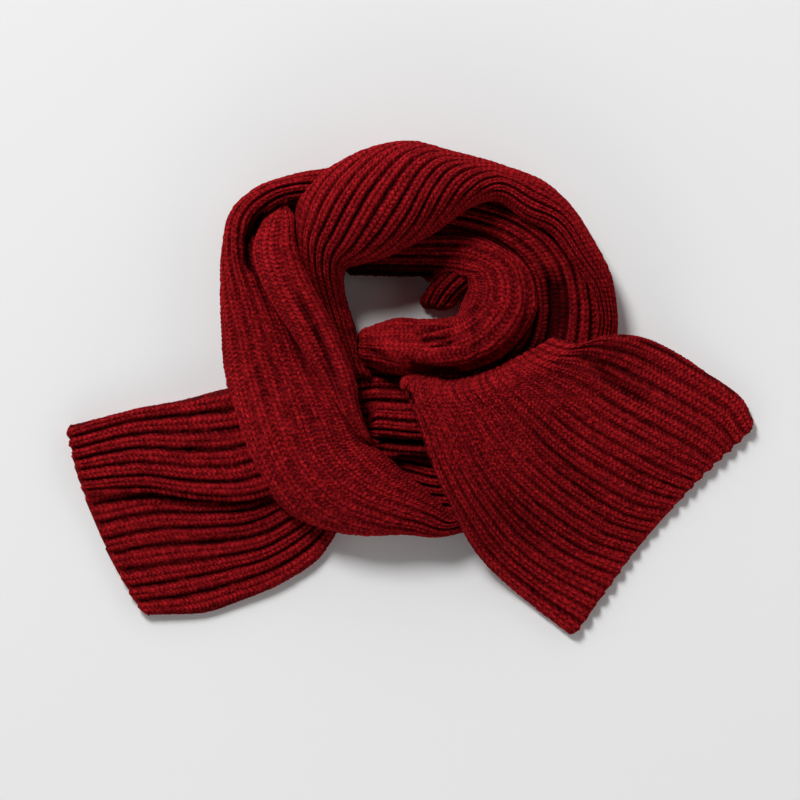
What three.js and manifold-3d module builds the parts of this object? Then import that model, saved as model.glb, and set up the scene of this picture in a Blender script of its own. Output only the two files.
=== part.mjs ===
// A two-by-two rib knit scarf, bunched, wound round one loop and dropped flat on a table,
// with both ends lying free. Millimetres, +Z up, seen from above with +Y away from the viewer.
// z = 0 is the surface that it lies on, and x = y = 0 is the middle of its box.

import * as THREE from "three";
import { mergeVertices } from "three/addons/utils/BufferGeometryUtils.js";
import Module from "manifold-3d";

// Driving dimensions
const CLOTH = 8;            // thickness of the rib knit, lying slack
const RIB_DEPTH = 2.6;      // a groove's depth under its ridges on bunched cloth
const RIM = 11;             // radius with which a bunched strand turns under
const GAP = 0.45;           // air between two stretches that touch
const UNDER = 3;            // how far a neighbour's cutting form reaches below the table
const PROUD = 0.8;          // how far the ridges stand out past the traced outline
const RIDGE_FROM = 0.28;    // a ridge starts here in each rib, and the groove is at 0
const RIDGE_TO = 0.72;
const END_ROUND = 9;        // how far a rounded end stands out past its last section
const EDGE = 2;             // how far a selvedge rounds in
const DIP = 0.4;            // height of a folded end's lower layer beside its fold, x CLOTH
const LOWER_RIBS = 8;       // ribs in a folded end's lower layer, up to the fold
const UPPER_RIBS = 6;       // ribs in its upper layer, from the fold to the far selvedge
const OPEN_RIBS = 20;       // ribs across an end that lies open
const OPEN_RELIEF = 0.8;    // depth of an open end's grooves, x RIB_DEPTH
const TUCK_EDGE = 0.004;    // half the width of a tuck's step, x the width of the end
const CENTRE = { x: 2, y: 1.8 };   // middle of the box, in the tables' own plan

const WOOL = { color: 0x8f1526, roughness: 0.95, metalness: 0 };

// Bunched strands. One row a section: plan places of its outer and inner side, the height of
// its underside, the height of its crown at either side, how deep its grooves are, and by how
// many ribs the cloth has turned round the strand.
const STRAND = ["outX", "outY", "inX", "inY", "base", "outTop", "inTop", "relief", "turn"];

const LOWER_TURN = [
  [-25, -55, -25, -10, 0, 24, 25, 1, 0],
  [16, -60, 16, -9, 0, 27, 28, 1, 0],
  [57, -59, 54, 16, 0, 30, 32, 1, 0],
  [98, -45, 74, 28, 0, 32, 32, 1, 0],
  [133, -16, 80, 38, 0, 30, 28, 1, 0],
  [154, 14, 86, 48, 0, 30, 24, 1, 0],
  [158, 45, 90, 58, 0, 34, 24, 1, 0],
  [156, 74, 92, 73, 0, 38, 26, 1, 0],
  [146, 105, 91, 96, 0, 40, 30, 1, 0],
  [126, 131, 75, 115, 0, 40, 32, 1, 0],
  [100, 149, 58, 125, 0, 37, 32, 1, 0],
  [74, 160, 43, 130, 0, 32, 30, 1, 0],
  [48, 166, 30, 133, 0, 28, 26, 1, 0],
];

const INNER_STUB = [
  [10, 76, 38, 71, 0, 16, 16, 1, 0],
  [16, 86, 44, 79, 0, 20, 20, 1, 0],
  [26, 97, 54, 88, 0, 22, 22, 1, 0],
  [38, 108, 65, 98, 0, 22, 22, 1, 0],
  [48, 118, 74, 108, 0, 20, 20, 1, 0],
];

const LEFT_BAND = [
  [-34, 187, -39, 144, 0, 22, 22, 1, 0],
  [-63, 182, -67, 148, 0, 28, 26, 1, 0],
  [-91, 178, -88, 151, 0, 34, 28, 1, 0],
  [-124, 167, -102, 146, 0, 38, 26, 1, 0],
  [-147, 146, -111, 130, 0, 39, 20, 1, 0],
  [-155, 115, -105, 105, 0, 39, 18, 0.9, 0],
  [-156, 86, -90, 80, 0, 39, 22, 0.9, 0],
  [-155, 57, -75, 53, 0, 39, 28, 0.8, 0],
  [-154, 31, -61, 25, 0, 40, 34, 0.7, 0],
  [-149, 0, -48, -4, 0, 41, 44, 0.6, 0],
  [-140, -33, -40, -23, 0, 42, 48, 0.5, 0],
  [-126, -66, -34, -39, 0, 42, 48, 0.5, 0],
  [-103, -97, -20, -52, 0, 42, 48, 0.6, 0],
  [-75, -113, -7, -65, 0, 40, 46, 0.8, 0],
  [-40, -119, 11, -80, 0, 36, 42, 0.9, 0],
  [-7, -118, 25, -94, 0, 32, 36, 1, 0],
  [21, -121, 37, -104, 0, 27, 30, 1, 0],
  [44, -117, 52, -98, 0, 22, 24, 1, 0],
];

const INNER_BAND = [
  [-34, 18, -35, 49, 0, 28, 28, 1, 0],
  [-12, 13, -12, 54, 0, 42, 38, 0.8, 0],
  [16, 14, 12, 57, 0, 46, 40, 0.7, 0],
  [45, 15, 37, 60, 0, 47, 40, 0.7, 0],
  [74, 25, 43, 70, 0, 47, 40, 0.7, 0],
  [97, 48, 47, 80, 0, 46, 40, 0.8, 0],
  [107, 71, 46, 88, 0, 44, 39, 0.8, 0],
  [99, 102, 43, 93, 0, 42, 34, 0.8, 0],
  [74, 121, 38, 90, 0, 40, 26, 0.8, 0],
  [47, 133, 30, 87, 0, 34, 19, 1, 0],
  [20, 138, 14, 88, 0, 24, 17, 1, 0],
  [-16, 138, -19, 89, 0, 20, 16, 1, 0],
  [-49, 131, -48, 90, 0, 18, 15, 1, 0],
];

const TOP_BAND = [
  [-77, 26, -42, 20, 0, 20, 20, 1, 0],
  [-84, 74, -55, 69, 0, 30, 28, 1, 0],
  [-92, 105, -55, 87, 0, 44, 42, 1, 0],
  [-95, 133, -52, 100, 0, 55, 56, 1, 0.4],
  [-91, 157, -41, 103, 0, 62, 66, 1, 1.1],
  [-80, 172, -25, 107, 0, 66, 71, 1, 2.1],
  [-62, 185, -5, 115, 0, 68, 74, 1, 3.2],
  [-32, 199, 15, 125, 0, 66, 74, 1, 4.5],
  [2, 204, 33, 137, 0, 62, 72, 1, 6],
  [38, 194, 52, 149, 0, 58, 68, 1, 7.5],
  [75, 184, 72, 153, 0, 53, 62, 1, 8.8],
  [109, 171, 90, 138, 0, 48, 56, 1, 9.5],
  [136, 147, 111, 128, 0, 45, 50, 1, 9.8],
  [156, 114, 127, 107, 0, 42, 46, 1, 9.8],
  [167, 84, 144, 82, 0, 37, 39, 1, 9.8],
  [170, 49, 149, 52, 0, 31, 31, 1, 9.8],
  [162, 12, 134, 24, 0, 24, 24, 1, 9.8],
  [140, -18, 118, -2, 0, 20, 20, 1, 9.8],
];

const LEFT_STRAND = [
  [-110, 150, -99, 152, 12, 26, 27, 1, 0],
  [-121, 138, -91, 138, 8, 38, 42, 0.9, 0],
  [-130, 116, -86, 115, 6, 45, 50, 0.7, 0],
  [-126, 95, -79, 92, 6, 50, 54, 0.7, 0],
  [-115, 71, -70, 71, 6, 52, 57, 0.7, 0],
  [-100, 48, -60, 49, 8, 52, 58, 0.7, 0],
  [-86, 26, -52, 27, 12, 50, 57, 0.7, 0],
  [-74, 6, -45, 6, 16, 48, 55, 0.7, 0],
  [-61, -15, -41, -15, 20, 47, 52, 0.6, 0],
  [-49, -33, -34, -36, 24, 45, 49, 0.5, 0],
];

// Free ends. One row a section, from one selvedge (a) over the middle (m) to the other (b).
// The left one is folded lengthwise: fold is where, as a share of its width, lap how far the
// upper layer lies over the lower, pocket how wide the lower layer dips beside it.
const FOLDED_END = [
  "aX", "aY", "mX", "mY", "bX", "bY", "fold", "lap", "pocket", "foldTop", "backTop",
];
const LEFT_TAIL = [
  [-214, -186, -253, -113, -279, -28, 0.68, 2, 2, 12, 10],
  [-172, -185, -211, -98, -231, -15, 0.6, 8, 5, 17, 15],
  [-139, -175, -172, -90, -189, -7, 0.52, 10, 7, 18, 16],
  [-107, -161, -135, -84, -149, 2, 0.48, 12, 11, 19, 17],
  [-75, -140, -102, -66, -111, 8, 0.43, 14, 15, 19, 17],
  [-53, -108, -70, -48, -75, 13, 0.42, 10, 10, 17, 15],
  [-29, -90, -34, -35, -40, 25, 0.42, 6, 6, 13, 10],
  [-4, -94, -6, -35, -9, 25, 0.42, 5, 5, 12.5, 9],
  [20, -99, 17, -37, 13, 23, 0.42, 5, 5, 12.5, 9],
  [48, -100, 44, -38, 38, 22, 0.42, 5, 5, 12.5, 9],
];

// The right one is open: three heights for each row's top side, and the share of its width
// where it steps down over a tuck, with how far it steps.
const OPEN_END = [
  "aX", "aY", "aZ", "mX", "mY", "mZ", "bX", "bY", "bZ", "tuck", "step",
];
const RIGHT_TAIL = [
  [4, 12, 26, 58, 14, 24, 117, 44, 36, 0.9, 0],
  [-8, 4, 47, 57, 3, 52, 139, 39, 50, 0.9, 0],
  [3, -20, 55, 74, -18, 55, 162, 46, 48, 0.88, 3],
  [16, -59, 55, 93, -41, 50, 187, 45, 34, 0.84, 7],
  [32, -95, 46, 117, -64, 40, 213, 35, 18, 0.82, 4],
  [56, -137, 19, 146, -84, 26, 241, 18, 10, 0.8, 0],
  [92, -171, 8, 176, -101, 14, 271, -3, 8, 0.8, 0],
  [131, -201, 8, 201, -108, 8, 283, -25, 8, 0.8, 0],
];

// Rows, curves and meshes

function named(columns, rows) {
  return rows.map((row) => Object.fromEntries(columns.map((name, i) => [name, row[i]])));
}

function smooth(a, b, c, d, f) {
  const bend = 2 * a - 5 * b + 4 * c - d;
  const twist = 3 * (b - c) + d - a;
  return b + 0.5 * f * (c - a + f * (bend + f * twist));
}

// The row at t, from 0 at the table's first row to 1 at its last, on a smooth curve.
function rowAt(rows, t) {
  const place = t * (rows.length - 1);
  const i = Math.min(Math.floor(place), rows.length - 2);
  const a = rows[Math.max(i - 1, 0)];
  const b = rows[i];
  const c = rows[i + 1];
  const d = rows[Math.min(i + 2, rows.length - 1)];
  const row = {};
  for (const key of Object.keys(b)) {
    row[key] = smooth(a[key], b[key], c[key], d[key], place - i);
  }
  return row;
}

// A closed body from rings of points with the same count, each end closed by a fan.
function loft(rings) {
  const count = rings[0].length;
  const points = rings.flat();
  const faces = [];
  for (let r = 0; r + 1 < rings.length; r += 1) {
    for (let i = 0; i < count; i += 1) {
      const a = r * count + i;
      const b = r * count + ((i + 1) % count);
      faces.push(a, b, b + count, a, b + count, a + count);
    }
  }
  for (const [ring, first, flip] of [[rings[0], 0, 1], [rings.at(-1), points.length - count, 0]]) {
    const middle = new THREE.Vector3();
    ring.forEach((p) => middle.addScaledVector(p, 1 / count));
    points.push(middle);
    const hub = points.length - 1;
    for (let i = 0; i < count; i += 1) {
      const a = first + i;
      const b = first + ((i + 1) % count);
      faces.push(...(flip ? [hub, b, a] : [hub, a, b]));
    }
  }
  const geometry = new THREE.BufferGeometry().setFromPoints(points);
  geometry.setIndex(facingOut(points, faces));
  return geometry;
}

// Faces in the order that turns them outwards, whichever way round the rings ran.
function facingOut(points, faces) {
  let volume = 0;
  for (let i = 0; i < faces.length; i += 3) {
    const [a, b, c] = [points[faces[i]], points[faces[i + 1]], points[faces[i + 2]]];
    volume += a.dot(b.clone().cross(c));
  }
  return volume > 0 ? faces : faces.reverse();
}

// Sections of a bunched strand

const RIM_OF_HEIGHT = 0.45;     // a low or narrow strand turns under with a smaller radius:
const RIM_OF_WIDTH = 0.4;       // at most these shares of its height and its width
const RIM_STEPS = 12;           // points round each lower edge
const CROWN_STEPS = 64;         // points over the crown
const FULLNESS = 0.85;          // 1 makes the crown half an ellipse, and less makes it squarer

// The outline across a strand as close points, from where it leaves the table on its outer
// side, over the crown, to the same place on its inner side.
function strandOutline(row, grow) {
  const width = Math.hypot(row.inX - row.outX, row.inY - row.outY);
  const height = Math.min(row.outTop, row.inTop) - row.base;
  const rim = Math.min(RIM, height * RIM_OF_HEIGHT, width * RIM_OF_WIDTH);
  const outline = [];
  for (let i = 0; i < RIM_STEPS; i += 1) {
    const turn = (i / RIM_STEPS) * (Math.PI / 2);
    outline.push([rim * (1 - Math.sin(turn)), row.base + rim * (1 - Math.cos(turn))]);
  }
  for (let i = 0; i <= CROWN_STEPS; i += 1) {
    const turn = (i / CROWN_STEPS) * Math.PI;
    const side = Math.sign(Math.cos(turn)) * Math.abs(Math.cos(turn)) ** FULLNESS;
    const share = (1 - side) / 2;
    const crown = row.outTop + (row.inTop - row.outTop) * share - row.base - rim;
    outline.push([width * share, row.base + rim + crown * Math.sin(turn) ** FULLNESS]);
  }
  for (let i = 1; i <= RIM_STEPS; i += 1) {
    const turn = (i / RIM_STEPS) * (Math.PI / 2);
    const inset = rim * (1 - Math.cos(turn));
    outline.push([width - inset, row.base + rim * (1 - Math.sin(turn))]);
  }
  return { width, rim, outline: grow ? grown(outline, grow) : outline };
}

function sideways(outline, i) {
  const a = outline[Math.max(i - 1, 0)];
  const b = outline[Math.min(i + 1, outline.length - 1)];
  const length = Math.hypot(b[0] - a[0], b[1] - a[1]) || 1;
  return [-(b[1] - a[1]) / length, (b[0] - a[0]) / length];
}

function grown(outline, grow) {
  return outline.map(([across, z], i) => {
    const [nx, nz] = sideways(outline, i);
    return [across + nx * grow, z + nz * grow];
  });
}

// The point a share of the way along an outline, sunk by depth.
function along(outline, lengths, share, depth) {
  const target = share * lengths.at(-1);
  let i = 0;
  while (i < lengths.length - 2 && lengths[i + 1] < target) {
    i += 1;
  }
  const f = (target - lengths[i]) / (lengths[i + 1] - lengths[i] || 1);
  const [nx, nz] = sideways(outline, f < 0.5 ? i : i + 1);
  const across = outline[i][0] + (outline[i + 1][0] - outline[i][0]) * f;
  const z = outline[i][1] + (outline[i + 1][1] - outline[i][1]) * f;
  return [across - nx * depth, z - nz * depth];
}

function runLengths(outline) {
  const lengths = [0];
  for (let i = 1; i < outline.length; i += 1) {
    const [a, b] = [outline[i - 1], outline[i]];
    lengths.push(lengths[i - 1] + Math.hypot(b[0] - a[0], b[1] - a[1]));
  }
  return lengths;
}

function acrossStrand(row, across, z) {
  const f = across / Math.hypot(row.inX - row.outX, row.inY - row.outY);
  const x = row.outX + (row.inX - row.outX) * f - CENTRE.x;
  return new THREE.Vector3(x, row.outY + (row.inY - row.outY) * f - CENTRE.y, z);
}

// Where a rib has points: its groove and both sides of its ridge. A form that a neighbour is
// cut with runs from ridge to ridge.
function ribPoints(grow) {
  return grow ? [RIDGE_FROM, RIDGE_TO] : [0, RIDGE_FROM, RIDGE_TO];
}

// One ring of a strand. Its ribs lie side by side over the outline, and its underside is
// plain.
function strandRing(row, ribs, grow) {
  const { rim, outline } = strandOutline(row, grow);
  const lengths = runLengths(outline);
  const lowest = grow ? row.base - UNDER : row.base;
  const plan = (across, z) => acrossStrand(row, across, Math.max(z, lowest));
  const ring = [];
  for (let rib = 0; rib < ribs; rib += 1) {
    for (const phase of ribPoints(grow)) {
      const groove = phase === 0 && rib > 0 ? RIB_DEPTH * row.relief : 0;
      ring.push(plan(...along(outline, lengths, (rib + phase) / ribs, groove - PROUD)));
    }
  }
  ring.push(plan(...along(outline, lengths, 1, 0)));
  const width = outline.at(-1)[0];
  const underside = grow ? [width, width / 2, rim] : [width / 2];
  for (const across of underside) {
    ring.push(plan(across, lowest));
  }
  return ring;
}

// The same for a strand that the cloth turns round. Its ribs go all the way about it, turned
// on by turn ribs, and lose their relief where they pass under it.
function turnedRing(row, ribs, grow) {
  const { rim, width, outline } = strandOutline(row, grow);
  const lengths = runLengths(outline);
  const over = lengths.at(-1);
  const under = Math.max(width - 2 * rim, 1);
  const lowest = grow ? row.base - UNDER : row.base;
  const plan = (across, z) => acrossStrand(row, across, Math.max(z, lowest));
  const ring = [];
  for (let rib = 0; rib < ribs; rib += 1) {
    for (const phase of ribPoints(grow)) {
      const share = THREE.MathUtils.euclideanModulo((rib + phase - row.turn) / ribs, 1);
      const place = share * (over + under);
      if (place <= over) {
        const shown = Math.min(place / RIM, (over - place) / RIM, 1);
        const groove = phase === 0 ? RIB_DEPTH * row.relief : 0;
        ring.push(plan(...along(outline, lengths, place / over, (groove - PROUD) * shown)));
      } else {
        ring.push(plan(width - rim - (place - over), lowest));
      }
    }
  }
  return ring;
}

// Sections of a free end

function bowed(a, m, b, p) {
  return a * (1 - p) * (1 - 2 * p) + 4 * m * p * (1 - p) + b * p * (2 * p - 1);
}

function acrossEnd(row, p, z) {
  const x = bowed(row.aX, row.mX, row.bX, p) - CENTRE.x;
  return new THREE.Vector3(x, bowed(row.aY, row.mY, row.bY, p) - CENTRE.y, z);
}

function endWidth(row) {
  const first = Math.hypot(row.mX - row.aX, row.mY - row.aY);
  return first + Math.hypot(row.bX - row.mX, row.bY - row.mY);
}

const SEAM_LEAN = 1;                    // how far the cloth under a fold leans back
const FOLDED_UNDERSIDE = [0.6, 0.3];    // places of its points, as shares of the width

// A free end folded lengthwise, as one body: the lower layer's ribs run in under the upper
// layer, the fold hangs over them, and the upper layer's ribs run on to the far side.
function foldedRing(row) {
  const width = endWidth(row);
  const foldAt = row.fold * width;
  const back = foldAt + row.lap;
  const at = (across, z) => acrossEnd(row, across / width, z);
  const ring = [at(EDGE, 0), at(0, CLOTH / 2)];
  for (let rib = 0; rib < LOWER_RIBS; rib += 1) {
    for (const phase of [0, RIDGE_FROM, RIDGE_TO]) {
      const across = EDGE + (back - EDGE) * ((rib + phase) / LOWER_RIBS);
      const dipped = THREE.MathUtils.smoothstep(across, foldAt - row.pocket, foldAt);
      const groove = phase === 0 && rib > 0 ? RIB_DEPTH * (1 - dipped) : 0;
      ring.push(at(across, CLOTH * (1 - (1 - DIP) * dipped) - groove));
    }
  }
  const below = row.foldTop - CLOTH;
  ring.push(at(back, CLOTH * DIP));
  ring.push(at(back - SEAM_LEAN, below));
  ring.push(at(foldAt, below));
  ring.push(at(foldAt - EDGE, below + CLOTH / 2));
  for (let rib = 0; rib < UPPER_RIBS; rib += 1) {
    for (const phase of [0, RIDGE_FROM, RIDGE_TO]) {
      const share = (rib + phase) / UPPER_RIBS;
      const groove = phase === 0 && rib > 0 ? RIB_DEPTH : 0;
      const top = row.foldTop + (row.backTop - row.foldTop) * share;
      ring.push(at(foldAt + (width - EDGE - foldAt) * share, top - groove));
    }
  }
  ring.push(at(width - EDGE, row.backTop));
  ring.push(at(width, row.backTop / 2));
  ring.push(at(width - EDGE, 0));
  ring.push(...FOLDED_UNDERSIDE.map((share) => at(width * share, 0)));
  return ring;
}

const CUT_STEPS = 6;        // points across each layer of the form that cuts what lies over it

// The plain form round a folded end that a stretch lying over it is cut with.
function foldedCutRing(row) {
  const width = endWidth(row);
  const foldAt = row.fold * width;
  const at = (across, z) => acrossEnd(row, across / width, z);
  const foldSide = foldAt - EDGE - GAP;
  const ring = [at(-GAP, -UNDER)];
  for (let i = 0; i <= CUT_STEPS; i += 1) {
    ring.push(at(-GAP + (foldSide + GAP) * (i / CUT_STEPS), CLOTH + GAP));
  }
  for (let i = 0; i <= CUT_STEPS; i += 1) {
    const share = i / CUT_STEPS;
    const top = row.foldTop + (row.backTop - row.foldTop) * share;
    ring.push(at(foldSide + (width + GAP - foldSide) * share, top + GAP));
  }
  for (let i = 0; i <= CUT_STEPS; i += 1) {
    ring.push(at((width + GAP) * (1 - i / (CUT_STEPS + 1)), -UNDER));
  }
  return ring;
}

const UNDERSIDE_POINTS = 9;     // points across an open end's underside

// A free end that lies open: ribs on its top side, a plain underside CLOTH below them, which
// lies flat on the table where the end has come down to it.

function openRing(row) {
  const width = endWidth(row);
  const topAt = (p) => {
    const stepped = THREE.MathUtils.smoothstep(p, row.tuck - TUCK_EDGE, row.tuck + TUCK_EDGE);
    return bowed(row.aZ, row.mZ, row.bZ, p) - row.step * stepped;
  };
  const floorAt = (p) => Math.max(topAt(p) - CLOTH, 0);
  const edge = EDGE / width;
  const ring = [];
  for (let rib = 0; rib < OPEN_RIBS; rib += 1) {
    for (const phase of [0, RIDGE_FROM, RIDGE_TO]) {
      const p = edge + (1 - 2 * edge) * ((rib + phase) / OPEN_RIBS);
      const groove = phase === 0 && rib > 0 ? RIB_DEPTH * OPEN_RELIEF : 0;
      ring.push(acrossEnd(row, p, topAt(p) - groove));
    }
  }
  ring.push(acrossEnd(row, 1 - edge, topAt(1 - edge)));
  ring.push(acrossEnd(row, 1, (topAt(1) + floorAt(1)) / 2));
  for (let i = 0; i < UNDERSIDE_POINTS; i += 1) {
    const p = 1 - edge - (1 - 2 * edge) * (i / (UNDERSIDE_POINTS - 1));
    ring.push(acrossEnd(row, p, floorAt(p)));
  }
  ring.push(acrossEnd(row, 0, (topAt(0) + floorAt(0)) / 2));
  return ring;
}

// Whole stretches

function centreOf(ring) {
  const middle = new THREE.Vector3();
  ring.forEach((p) => middle.addScaledVector(p, 1 / ring.length));
  return middle;
}

// Rings that round an end off: how far each is moved out, as a share of the reach, how wide
// it still is, and how high over the level that the end rests on.
const ROUNDING = [
  { out: 0.62, width: 0.86, height: 0.88 },
  { out: 1, width: 0.55, height: 0.6 },
];

function roundedEnd(ring, inner, reach, base) {
  const middle = centreOf(ring);
  const away = middle.clone().sub(centreOf(inner)).setZ(0).normalize();
  return ROUNDING.map(({ out, width, height }) => ring.map((p) => {
    const moved = p.clone().sub(middle).setZ(0).multiplyScalar(width).add(middle);
    moved.addScaledVector(away, reach * out);
    return moved.setZ(p.z < base ? p.z : base + (p.z - base) * height);
  }));
}

function strandBody(rows, { ribs, sections, turned = false, grow = 0 }) {
  const table = named(STRAND, rows);
  const ringOf = turned ? turnedRing : strandRing;
  const rings = [];
  for (let i = 0; i <= sections; i += 1) {
    rings.push(ringOf(rowAt(table, i / sections), ribs, grow));
  }
  const reach = END_ROUND + grow;
  const start = roundedEnd(rings[0], rings[1], reach, table[0].base).reverse();
  const finish = roundedEnd(rings.at(-1), rings.at(-2), reach, table.at(-1).base);
  return loft([...start, ...rings, ...finish]);
}

// A ring moved straight out, away from the one before it.
function movedOut(ring, inner, reach) {
  const out = centreOf(ring).sub(centreOf(inner)).setZ(0).normalize();
  return ring.map((p) => p.clone().addScaledVector(out, reach));
}

function endBody(columns, rows, { sections, ringOf, longer = 0 }) {
  const table = named(columns, rows);
  const rings = [];
  for (let i = 0; i <= sections; i += 1) {
    rings.push(ringOf(rowAt(table, i / sections)));
  }
  if (longer) {
    rings.unshift(movedOut(rings[0], rings[1], longer));
    rings.push(movedOut(rings.at(-1), rings.at(-2), longer));
  }
  return loft(rings);
}

// Cutting: what lies over a stretch is cut by that stretch's plain form, grown by GAP.

const SAME_POINT = 1e-4;        // points closer together than this are one point

const library = await Module();
library.setup();

function solidOf(geometry) {
  const merged = mergeVertices(geometry, SAME_POINT);
  const vertProperties = new Float32Array(merged.attributes.position.array);
  const triVerts = new Uint32Array(merged.index.array);
  return new library.Manifold(new library.Mesh({ numProp: 3, vertProperties, triVerts }));
}

function geometryOf(solid) {
  const mesh = solid.getMesh();
  const geometry = new THREE.BufferGeometry();
  geometry.setAttribute("position", new THREE.BufferAttribute(mesh.vertProperties, 3));
  geometry.setIndex(new THREE.BufferAttribute(mesh.triVerts, 1));
  geometry.computeVertexNormals();
  return geometry;
}

// Each stretch, lowest first. What lies higher is cut by all that lies beneath it.
const stretches = [
  { name: "left_tail", folded: LEFT_TAIL, sections: 10 },
  { name: "lower_turn", rows: LOWER_TURN, ribs: 10, sections: 20 },
  { name: "inner_stub", rows: INNER_STUB, ribs: 8, sections: 5 },
  { name: "left_band", rows: LEFT_BAND, ribs: 11, sections: 22 },
  { name: "inner_band", rows: INNER_BAND, ribs: 9, sections: 20 },
  { name: "top_band", rows: TOP_BAND, ribs: 22, sections: 19, turned: true },
  { name: "left_strand", rows: LEFT_STRAND, ribs: 6, sections: 12 },
  { name: "right_tail", open: RIGHT_TAIL, sections: 14 },
];

function formOf(stretch) {
  const { sections } = stretch;
  if (stretch.folded) {
    return endBody(FOLDED_END, stretch.folded, { sections, ringOf: foldedRing });
  }
  if (stretch.open) {
    return endBody(OPEN_END, stretch.open, { sections, ringOf: openRing });
  }
  return strandBody(stretch.rows, stretch);
}

function cutterOf(stretch) {
  const { sections } = stretch;
  if (stretch.folded) {
    return endBody(FOLDED_END, stretch.folded, { sections, ringOf: foldedCutRing, longer: GAP });
  }
  return strandBody(stretch.rows, { ...stretch, grow: GAP });
}

const group = new THREE.Group();
for (const [level, stretch] of stretches.entries()) {
  let solid = solidOf(formOf(stretch));
  for (const below of stretches.slice(0, level)) {
    solid = solid.subtract(solidOf(cutterOf(below)));
  }
  const mesh = new THREE.Mesh(geometryOf(solid), new THREE.MeshStandardMaterial(WOOL));
  mesh.name = stretch.name;
  group.add(mesh);
}

export default group;
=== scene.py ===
# Looks of a deep red rib knit scarf, bunched, wound round one loop and dropped flat.
# Sizes in the tables are millimetres on the plan that the CAD source also uses.
import math

import bpy
import numpy as np
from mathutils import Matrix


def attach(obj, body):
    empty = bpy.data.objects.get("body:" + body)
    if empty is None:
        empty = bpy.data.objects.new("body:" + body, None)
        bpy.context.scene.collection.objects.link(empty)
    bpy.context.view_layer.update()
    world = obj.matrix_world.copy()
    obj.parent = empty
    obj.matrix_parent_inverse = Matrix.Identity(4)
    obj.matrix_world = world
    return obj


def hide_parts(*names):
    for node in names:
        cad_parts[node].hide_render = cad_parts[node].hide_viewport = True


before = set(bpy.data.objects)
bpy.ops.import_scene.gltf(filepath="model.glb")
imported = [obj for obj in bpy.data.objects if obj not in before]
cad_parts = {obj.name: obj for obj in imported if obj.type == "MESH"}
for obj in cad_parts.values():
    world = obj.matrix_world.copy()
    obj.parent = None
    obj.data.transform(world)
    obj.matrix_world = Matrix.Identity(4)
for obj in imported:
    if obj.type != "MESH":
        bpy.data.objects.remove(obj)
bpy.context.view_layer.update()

MM = 0.001
CENTRE = np.array([2.0, 1.8])    # middle of the box on the tables' plan
CLOTH = 8.0                      # thickness of a free end
WALL = 6.5                       # from a bunched strand's plain form to its wall's inner side
RIM = 11.0                       # radius with which a bunched strand turns under
FULLNESS = 0.85                  # how squarely its crown stands: 1 is an oval, less is fuller
END_ROUND = 9.0                  # how far a strand goes on past either end of its table
HEM_REACH = 5.0                  # how far a cast-off edge stands out past its table
SELVEDGE = 2.0                   # how far in from its sides the knit of a free end starts
CLEAR = 0.5                      # air between two stretches that touch
LYING = 0.3                      # height of an underside over the table

# Knit
STITCH = 3.9                     # one row of stitches, along a rib
RIB = 11.5                       # one rib, for the waves that run across ribs
GROOVE = 3.6                     # depth of a groove between two ribs on slack cloth
PROUD = 0.8                      # how far the ridges stand out past the plain form
LOWER_RIBS = 8                   # ribs that show on the left end's lower layer
UPPER_RIBS = 6                   # ribs on the part of it that is folded over
OPEN_RIBS = 20                   # ribs across the right end
OPEN_RELIEF = 0.74               # how deep its grooves are: 1 on slack cloth
SIDE_RELIEF = 0.4                # and along its sides
FOLD_BULGE = 4.0                 # how far the left end's fold rounds out
POCKET_SINK = 0.6                # share by which the lower layer is pressed in beside it
DARK_CREASE = 11.0               # a crease this deep gets painted shade as dark as a groove's

# Slow waves of hand-laid cloth: their length and height, or for wander a share of a rib
STRAND_SWELL = 90, 0.7
END_SWELL = 100, 0.6
WANDER = 170, 0.11
RIB_DEPTHS = 130, 0.1
WANDER_RIB = 40                  # ribs are this far apart in the waves that they wander in
DEPTH_RIB = 97                   # and in those of their depth, so that each goes its own way

# Mesh
PER_RIB = 10                     # columns in a rib
PER_ROW = 4                      # rows in a row of stitches
UNDER = 10                       # columns in either half of an underside
COARSE = 5                       # the wall's inner side has a column for this many outer ones
COARSE_ROWS = 6                  # and a row for this many outer ones
EASE = 8                         # columns over which the knit rises at a strand's edge
FOLD_STEPS = 7
HEM_STEPS = 5
END_STEPS = 12
RANDOM = np.random.default_rng(20)

# Bunched strands: plan places of the outer and inner side, height of the underside, height of
# the crown at either side, how deep the grooves are, how many ribs the cloth has turned by.
OUT, INN, BASE, OUT_TOP, IN_TOP, RELIEF, TURN = slice(0, 2), slice(2, 4), 4, 5, 6, 7, 8

LOWER_TURN = [
    [-25, -55, -25, -10, 0, 24, 25, 1, 0],
    [16, -60, 16, -9, 0, 27, 28, 1, 0],
    [57, -59, 54, 16, 0, 30, 32, 1, 0],
    [98, -45, 74, 28, 0, 32, 32, 1, 0],
    [133, -16, 80, 38, 0, 30, 28, 1, 0],
    [154, 14, 86, 48, 0, 30, 24, 1, 0],
    [158, 45, 90, 58, 0, 34, 24, 1, 0],
    [156, 74, 92, 73, 0, 38, 26, 1, 0],
    [146, 105, 91, 96, 0, 40, 30, 1, 0],
    [126, 131, 75, 115, 0, 40, 32, 1, 0],
    [100, 149, 58, 125, 0, 37, 32, 1, 0],
    [74, 160, 43, 130, 0, 32, 30, 1, 0],
    [48, 166, 30, 133, 0, 28, 26, 1, 0],
]
INNER_STUB = [
    [10, 76, 38, 71, 0, 16, 16, 1, 0],
    [16, 86, 44, 79, 0, 20, 20, 1, 0],
    [26, 97, 54, 88, 0, 22, 22, 1, 0],
    [38, 108, 65, 98, 0, 22, 22, 1, 0],
    [48, 118, 74, 108, 0, 20, 20, 1, 0],
]
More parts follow.
